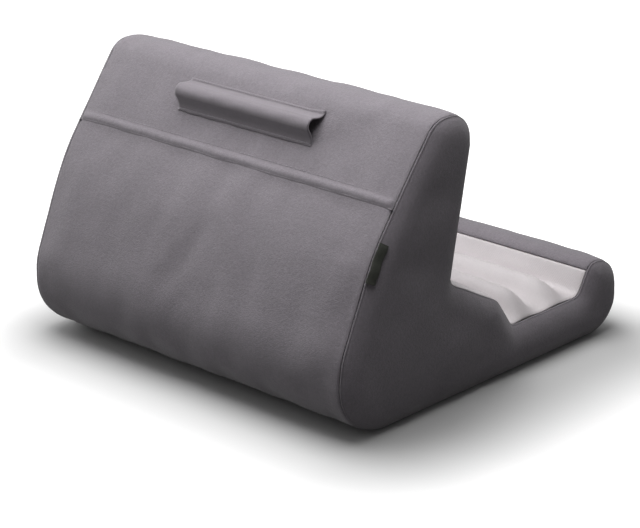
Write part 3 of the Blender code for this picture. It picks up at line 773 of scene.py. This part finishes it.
def end_cover(name, side):
    """One end panel, its edge turned in at the seam."""
    flat, out, faces, distance = end_form(end_travel, 11, 0.0036)
    edge = half_width(flat[:, 1]) + seam_gap
    points = np.column_stack((side * np.maximum(out, edge), flat))
    item = mesh_object(name, points, faces)
    shape = bmesh.new()
    shape.from_mesh(item.data)
    bmesh.ops.recalc_face_normals(shape, faces=shape.faces)
    middle = max(shape.verts, key=lambda vert: vert.co.x * side)
    if middle.normal.x * side < 0.0:
        bmesh.ops.reverse_faces(shape, faces=shape.faces)
    shape.normal_update()
    shape.verts.ensure_lookup_table()
    normals = np.array([tuple(vert.normal) for vert in shape.verts])
    swell = swell_at(points) * np.clip(distance / end_swell_reach, 0.0, 1.0)
    swell += end_puff * (1.0 - np.exp(-distance / end_puff_reach))
    run = distance * end_seam_narrow
    wave = np.array([noise.noise(Vector(point) * 90.0) for point in points])
    swell += end_pucker * wave * np.exp(-(run / end_pucker_reach) ** 2)
    moved = points + normals * (swell - seam_roll(run, seam_depth, seam_reach))[:, None]
    moved[:, 0] = side * np.maximum(moved[:, 0] * side, edge)
    for vert, point in zip(shape.verts, moved):
        vert.co = point
    shape.to_mesh(item.data)
    shape.free()
    return thickened(item)


end_suede = suede_finish("end_suede", suede_grey, 0.14, 0.40, suede_relief)
for name, side, cad_node in (("left_end_cover", 1.0, "left_end_panel"),
                             ("right_end_cover", -1.0, "right_end_panel")):
    end = end_cover(name, side)
    end.data.materials.append(end_suede)
    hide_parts(cad_node)
    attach(end, "stand")


# The sleeve is a strip of smooth close knit, sewn flat along both long edges with its
# middle left loose as a round tube. It is open at both ends, and its upper corner at the
# near end curls up where the stitching stops.
bore_radius, bore_rise, sleeve_spread, sleeve_flange = 0.0051, 0.0048, 0.0093, 0.0016
sleeve_thickness, sleeve_lift = 0.0009, 0.0003
curl_start, curl_width, curl_height, curl_run = 0.0070, 0.0050, 0.0013, 0.016


def hollowed(start, end, depth):
    """Points from one place to another, drawn in as cloth is between a tube and its seam."""
    (x0, y0), (x1, y1) = start, end
    return [(x0 + (x1 - x0) * share, y0 + (y1 - y0) * share - depth * math.sin(share * math.pi))
            for share in (0.12, 0.3, 0.5, 0.7, 0.88)]


def sleeve_section(radius, upper_edge, lower_edge):
    """Inner face of the sleeve across the slope: flat edge, slope, round top, slope, flat edge."""
    fall = bore_rise - sleeve_lift
    reach = math.hypot(sleeve_spread, fall)
    touch = math.acos(radius / reach) - math.atan2(fall, sleeve_spread)
    angles = np.linspace(math.pi - touch, touch, 21)
    top = [(radius * math.cos(a), bore_rise + radius * math.sin(a)) for a in angles]
    upper = [(-sleeve_spread - upper_edge * s, sleeve_lift) for s in (1.0, 0.6, 0.25, 0.0)]
    lower = [(sleeve_spread + lower_edge * s, sleeve_lift) for s in (0.0, 0.25, 0.6, 1.0)]
    return (upper + hollowed(upper[-1], top[0], 0.0008) + top
            + hollowed(top[-1], lower[0], 0.0014) + lower)


place, facing = on_outline(sleeve_travel)
slope = np.array((facing[1], -facing[0]))
sleeve_rows = []
for x in np.linspace(sleeve_ends[0], sleeve_ends[1], 91):
    # the corner is freest at the near end; both edges and the round are a little uneven
    free = np.clip(1.0 - (x - sleeve_ends[0]) / curl_run, 0.0, 1.0) ** 2
    wave = noise.noise(Vector((x * 60.0, 2.0, 9.0)))
    ripple = noise.noise(Vector((x * 130.0, 7.0, 1.0)))
    section = sleeve_section(bore_radius * (1.0 + 0.03 * wave), sleeve_flange + 0.0006 * free,
                             sleeve_flange + 0.0004 * ripple)
    row = []
    for down, up in section:
        curl = max(0.0, (-down - curl_start) / curl_width) * free * curl_height
        soft = 0.0003 * noise.noise(Vector((x * 75.0, down * 220.0, 4.0)))
        up += curl + soft * min(1.0, up / 0.002)
        row.append((x, *(place + slope * (down - curl * 0.5) + facing * (up + sleeve_lift))))
    sleeve_rows.append(row)
sleeve_grid = np.array(sleeve_rows)
sleeve = mesh_object("sleeve", sleeve_grid.reshape(-1, 3), grid_faces(*sleeve_grid.shape[:2]))
shaded_smooth(sleeve)
solid = sleeve.modifiers.new("knit", "SOLIDIFY")
solid.thickness = sleeve_thickness
solid.offset = 1.0
made_plain(sleeve)
sleeve_finish = suede_finish("sleeve_knit", (0.205, 0.187, 0.206), 0.10, 0.18, 0.00010, 0.15)
sleeve.data.materials.append(sleeve_finish)
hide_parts("stylus_sleeve")
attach(sleeve, "stand")


# The hem and both edges of the sleeve are sewn down with one row of lock stitches each, in
# thread of the cloth's colour: short arches that sink into the cloth at their two ends.
def stitch_row_tree():
    """Geometry nodes: stitches at even steps along the lines they are given."""
    tree = bpy.data.node_groups.new("stitch_row", "GeometryNodeTree")
    face = tree.interface
    face.new_socket("Geometry", in_out="INPUT", socket_type="NodeSocketGeometry")
    for name in ("Stitch Length", "Stitch Spacing", "Thread Radius", "Stitch Rise"):
        face.new_socket(name, in_out="INPUT", socket_type="NodeSocketFloat")
    face.new_socket("Thread", in_out="INPUT", socket_type="NodeSocketMaterial")
    face.new_socket("Geometry", in_out="OUTPUT", socket_type="NodeSocketGeometry")
    given = node(tree, "NodeGroupInput").outputs
    line = node(tree, "GeometryNodeMeshToCurve", {"Mesh": given["Geometry"]}).outputs["Curve"]
    steps = node(tree, "GeometryNodeResampleCurve",
                 {"Curve": line, "Length": given["Stitch Spacing"]}, mode="LENGTH")

    half = math_node(tree, "MULTIPLY", given["Stitch Length"], 0.5)
    sunk = math_node(tree, "MULTIPLY", given["Stitch Rise"], -0.7)
    ends = {"Resolution": 5}
    for name, x, z in (("Start", math_node(tree, "MULTIPLY", half, -1.0), sunk),
                       ("Middle", 0.0, given["Stitch Rise"]), ("End", half, sunk)):
        ends[name] = node(tree, "ShaderNodeCombineXYZ", {"X": x, "Z": z}).outputs[0]
    arch = node(tree, "GeometryNodeCurveQuadraticBezier", ends).outputs["Curve"]
    ring = node(tree, "GeometryNodeCurvePrimitiveCircle",
                {"Resolution": 6, "Radius": given["Thread Radius"]}).outputs["Curve"]
    thread = node(tree, "GeometryNodeCurveToMesh",
                  {"Curve": arch, "Profile Curve": ring, "Fill Caps": True})

    facing = node(tree, "GeometryNodeInputNamedAttribute", {"Name": "facing"},
                  data_type="FLOAT_VECTOR")
    along = node(tree, "GeometryNodeInputTangent")
    axes = {"Primary Axis": facing.outputs["Attribute"], "Secondary Axis": along.outputs[0]}
    lie = node(tree, "FunctionNodeAxesToRotation", axes, primary_axis="Z", secondary_axis="X")
    uneven = node(tree, "FunctionNodeRandomValue", data_type="FLOAT")
    low, high, _, seed = [socket for socket in uneven.inputs if socket.enabled]
    low.default_value, high.default_value, seed.default_value = 0.88, 1.10, 7
    laid = node(tree, "GeometryNodeInstanceOnPoints",
                {"Points": steps.outputs["Curve"], "Instance": thread.outputs["Mesh"],
                 "Rotation": lie.outputs["Rotation"], "Scale": uneven.outputs[1]})
    real = node(tree, "GeometryNodeRealizeInstances", {"Geometry": laid.outputs["Instances"]})
    painted = node(tree, "GeometryNodeSetMaterial",
                   {"Geometry": real.outputs["Geometry"], "Material": given["Thread"]})
    node(tree, "NodeGroupOutput", {"Geometry": painted.outputs["Geometry"]})
    return tree


def thread_finish():
    """Two-ply polyester thread, with painted shade between the plies."""
    finish, shader, tree = new_finish("sewing_thread", 0.55, 0.0, 0.2, 0.4)
    ply = bands_node(tree, object_place(tree), "DIAGONAL", 900.0)
    # painted shade: the tone drops in the grooves between the plies
    tone = remapped(tree, ply, 0.8, 1.1)
    coloured(tree, shader, (0.190, 0.172, 0.192), tone, ply, 0.00008)
    return finish


def sewn_lines(name, lines):
    """Lines of points and their facings, as one object of edges only."""
    points = np.vstack([line for line, _ in lines])
    edges, start = [], 0
    for line, _ in lines:
        edges += [(start + index, start + index + 1) for index in range(len(line) - 1)]
        start += len(line)
    item = mesh_object(name, points, [], edges)
    facing = item.data.attributes.new("facing", "FLOAT_VECTOR", "POINT")
    facing.data.foreach_set("vector", np.vstack([facing for _, facing in lines]).ravel())
    return item


sleeve_lines = []
for edge_column in (2, -3):
    line = sleeve_grid[2:-2, edge_column] + np.array((0.0, *facing)) * (sleeve_thickness + 0.0001)
    sleeve_lines.append((line, np.tile((0.0, *facing), (len(line), 1))))
stitches = sewn_lines("stitching", [(hem_stitching, hem_facing)] + sleeve_lines)
rows_of_stitches = stitches.modifiers.new("stitches", "NODES")
rows_of_stitches.node_group = stitch_row_tree()
sizes = {"Stitch Length": 0.0027, "Stitch Spacing": 0.0034, "Thread Radius": 0.00021,
         "Stitch Rise": 0.0003, "Thread": thread_finish()}
for socket in rows_of_stitches.node_group.interface.items_tree:
    if socket.in_out == "INPUT" and socket.name in sizes:
        rows_of_stitches[socket.identifier] = sizes[socket.name]
made_plain(stitches)
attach(stitches, "stand")


# The zip lies hidden under the hem: two woven tapes, a nylon coil on the inner edge of each,
# a stop at each end and a slider. Its solids keep their shape and only get their finishes.
def tape_finish():
    """Herringbone-woven polyester tape, with painted shade in the low lines of the weave."""
    finish, shader, tree = new_finish("zip_tape_weave", 0.75, 0.0, 0.15, 0.3)
    weave = bands_node(tree, object_place(tree), "DIAGONAL", 500.0, 0.6)
    # painted shade: the tone drops in the low lines of the weave
    tone = remapped(tree, weave, 0.75, 1.15)
    coloured(tree, shader, (0.060, 0.056, 0.062), tone, weave, 0.0001)
    return finish


def coil_finish():
    """Nylon coil: close turns across the zip, with painted shade between the turns."""
    finish, shader, tree = new_finish("zip_coil_nylon", 0.35, 0.0, 0.0, 0.5)
    turns = bands_node(tree, object_place(tree), "X", 160.0)
    # painted shade: the tone drops in the grooves between the turns
    tone = remapped(tree, turns, 0.55, 1.2)
    coloured(tree, shader, (0.070, 0.066, 0.072), tone, turns, 0.0004)
    return finish


def enamel_finish():
    """Satin enamel on a die-cast slider and stops, a little uneven."""
    finish, shader, tree = new_finish("zip_enamel", 0.35, 0.0, 0.0, 0.5)
    uneven = noise_node(tree, object_place(tree), 400.0, 3.0)
    tone = remapped(tree, uneven, 0.85, 1.15)
    coloured(tree, shader, (0.120, 0.115, 0.120), tone, uneven, 0.00005)
    link(tree, remapped(tree, uneven, 0.28, 0.45), shader.inputs["Roughness"])
    return finish


for finish, zip_pieces in ((tape_finish(), ("zip_tape_upper", "zip_tape_lower")),
                           (coil_finish(), ("zip_coil_upper", "zip_coil_lower")),
                           (enamel_finish(), ("zip_stop_left", "zip_stop_right", "zip_slider"))):
    for name in zip_pieces:
        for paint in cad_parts[name].material_slots:
            paint.material = finish


# The tag is a small folded piece of dark woven ribbon, caught in one back seam. It is bare.
# The insets are distances in from the seam, each with how far its layer stands off the end.
tag_start, tag_length, tag_steps, ribbon_thickness = 0.0232, 0.024, 13, 0.0004
under = [(inset, 0.0005) for inset in (0.0002, 0.0006, 0.0012, 0.0019, 0.0027, 0.0036, 0.0043)]
fold = [(0.0046, 0.0006), (0.0047, 0.0008), (0.0046, 0.0010)]
over = [(inset, 0.0011) for inset, _ in under[::-1]]
tag_rows = []
for step in range(tag_steps + 1):
    place, facing = on_outline(seam_travel["hem"] + tag_start + tag_length * step / tag_steps)
    curl = 0.0003 * math.sin(step * 0.9)
    row = []
    for inset, lift in under + fold + over:
        share = inset / end_round
        flat = place - facing * (end_drop + inset - lift * (1.0 - share))
        edge = half_width(flat[1])
        out = edge + (end_face - edge) * math.sqrt(1.0 - (1.0 - share) ** 2)
        row.append((-(out + lift + curl), flat[0], flat[1]))
    tag_rows.append(row)
tag_grid = np.array(tag_rows)
tag = mesh_object("side_label", tag_grid.reshape(-1, 3), grid_faces(*tag_grid.shape[:2]))
solid = tag.modifiers.new("ribbon", "SOLIDIFY")
solid.thickness = ribbon_thickness
solid.offset = 0.0
made_plain(tag)


def ribbon_finish():
    """Ribbed dark ribbon with uneven threads, and painted shade between the ribs."""
    finish, shader, tree = new_finish("woven_ribbon", 0.7, 0.0, 0.1, 0.3)
    where = object_place(tree)
    ribs = bands_node(tree, where, "Z", 520.0)
    fleck = noise_node(tree, where, 1200.0, 2.0)
    # painted shade: the low lines between the ribs are darker; the flecks are the threads' own
    # uneven tone
    tone = varied(tree, math_node(tree, "MULTIPLY_ADD", ribs, 0.5, 0.7), fleck, 0.5)
    coloured(tree, shader, (0.030, 0.032, 0.025), tone, ribs, 0.0001)
    return finish


tag.data.materials.append(ribbon_finish())
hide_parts("side_tag")
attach(tag, "stand")


# The room is a plain white floor in a white surround, under three soft lamps: one close
# above the back, one beyond the end without the tag and one high up. The floor shows the
# stand's shadow from the lamps, and it glows white farther out. Near the stand the glow is held
# back in a box round its foot, which paints a further shadow round it. The camera stands
# where the picture was taken.
floor_half = 4.0
# middle and half size of the box round the stand's foot, and how far beyond it the painted shadow
# reaches before the glow is full
painted_shadow_middle, painted_shadow_half = (-0.022, 0.008, 0.0), (0.115, 0.098, 0.0)
painted_shadow_inner, painted_shadow_outer, floor_glow = 0.010, 0.130, 0.9
stand_middle = Vector((0.0, 0.0, 0.08))


def vector_node(tree, operation, first, second=(0.0, 0.0, 0.0)):
    """A Vector Math node on a socket and a fixed vector."""
    item = node(tree, "ShaderNodeVectorMath", {0: first, 1: second}, operation=operation)
    return item.outputs["Value" if operation == "LENGTH" else "Vector"]


corners = [(x * floor_half, y * floor_half, 0.0) for x, y in ((-1, -1), (1, -1), (1, 1), (-1, 1))]
floor = mesh_object("floor", corners, [[0, 1, 2, 3]])
floor_paint, shader, tree = new_finish("white_floor", 0.9, 0.0, 0.0, 0.1)
seen = node(tree, "ShaderNodeLightPath").outputs["Is Camera Ray"]
link(tree, remapped(tree, seen, 0.18, 0.52), shader.inputs["Base Color"])
shader.inputs["Emission Color"].default_value = (1.0, 1.0, 1.0, 1.0)
# painted shadow: the glow is held back near the stand, so the floor is left darker round its foot
from_middle = vector_node(tree, "SUBTRACT", object_place(tree), painted_shadow_middle)
beyond = vector_node(tree, "SUBTRACT", vector_node(tree, "ABSOLUTE", from_middle), painted_shadow_half)
away = vector_node(tree, "LENGTH", vector_node(tree, "MAXIMUM", beyond))
glow = remapped(tree, away, 0.0, floor_glow, painted_shadow_inner, painted_shadow_outer, "SMOOTHSTEP")
link(tree, math_node(tree, "MULTIPLY", seen, glow), shader.inputs["Emission Strength"])
floor.data.materials.append(floor_paint)

world = bpy.data.worlds.new("studio")
scene.world = world
world.use_nodes = True
tree = world.node_tree
path = node(tree, "ShaderNodeLightPath")
seen = math_node(tree, "MAXIMUM", path.outputs["Is Camera Ray"], path.outputs["Is Glossy Ray"])
seen = math_node(tree, "MAXIMUM", seen, path.outputs["Is Transmission Ray"])
surround = tree.nodes["Background"].inputs
surround["Color"].default_value = (1.0, 1.0, 1.0, 1.0)
link(tree, remapped(tree, seen, 0.12, 1.0), surround["Strength"])


def soft_lamp(name, place, size, power):
    """A square area lamp aimed at the stand."""
    lamp = bpy.data.lights.new(name, "AREA")
    lamp.size = size
    lamp.energy = power
    item = bpy.data.objects.new(name, lamp)
    item.location = place
    item.rotation_euler = (stand_middle - Vector(place)).to_track_quat("-Z", "Y").to_euler()
    scene.collection.objects.link(item)


soft_lamp("near_lamp", (-0.03, 0.11, 0.62), 0.50, 3.3)
soft_lamp("side_lamp", (1.2, 0.5, 0.45), 1.0, 7.0)
soft_lamp("high_lamp", (0.8, 0.05, 2.3), 1.5, 18.5)

camera_data = bpy.data.cameras.new("camera")
camera_data.sensor_fit = "HORIZONTAL"
camera_data.sensor_width = 36.0
camera_data.lens = 132.9
camera_data.clip_start = 0.05
camera = bpy.data.objects.new("camera", camera_data)
camera.location = (-0.94185, 1.02346, 0.5585)
camera.rotation_euler = Vector((0.6373, -0.6880, -0.3472)).to_track_quat("-Z", "Y").to_euler()
scene.collection.objects.link(camera)
scene.camera = camera
scene.view_settings.view_transform = "Standard"
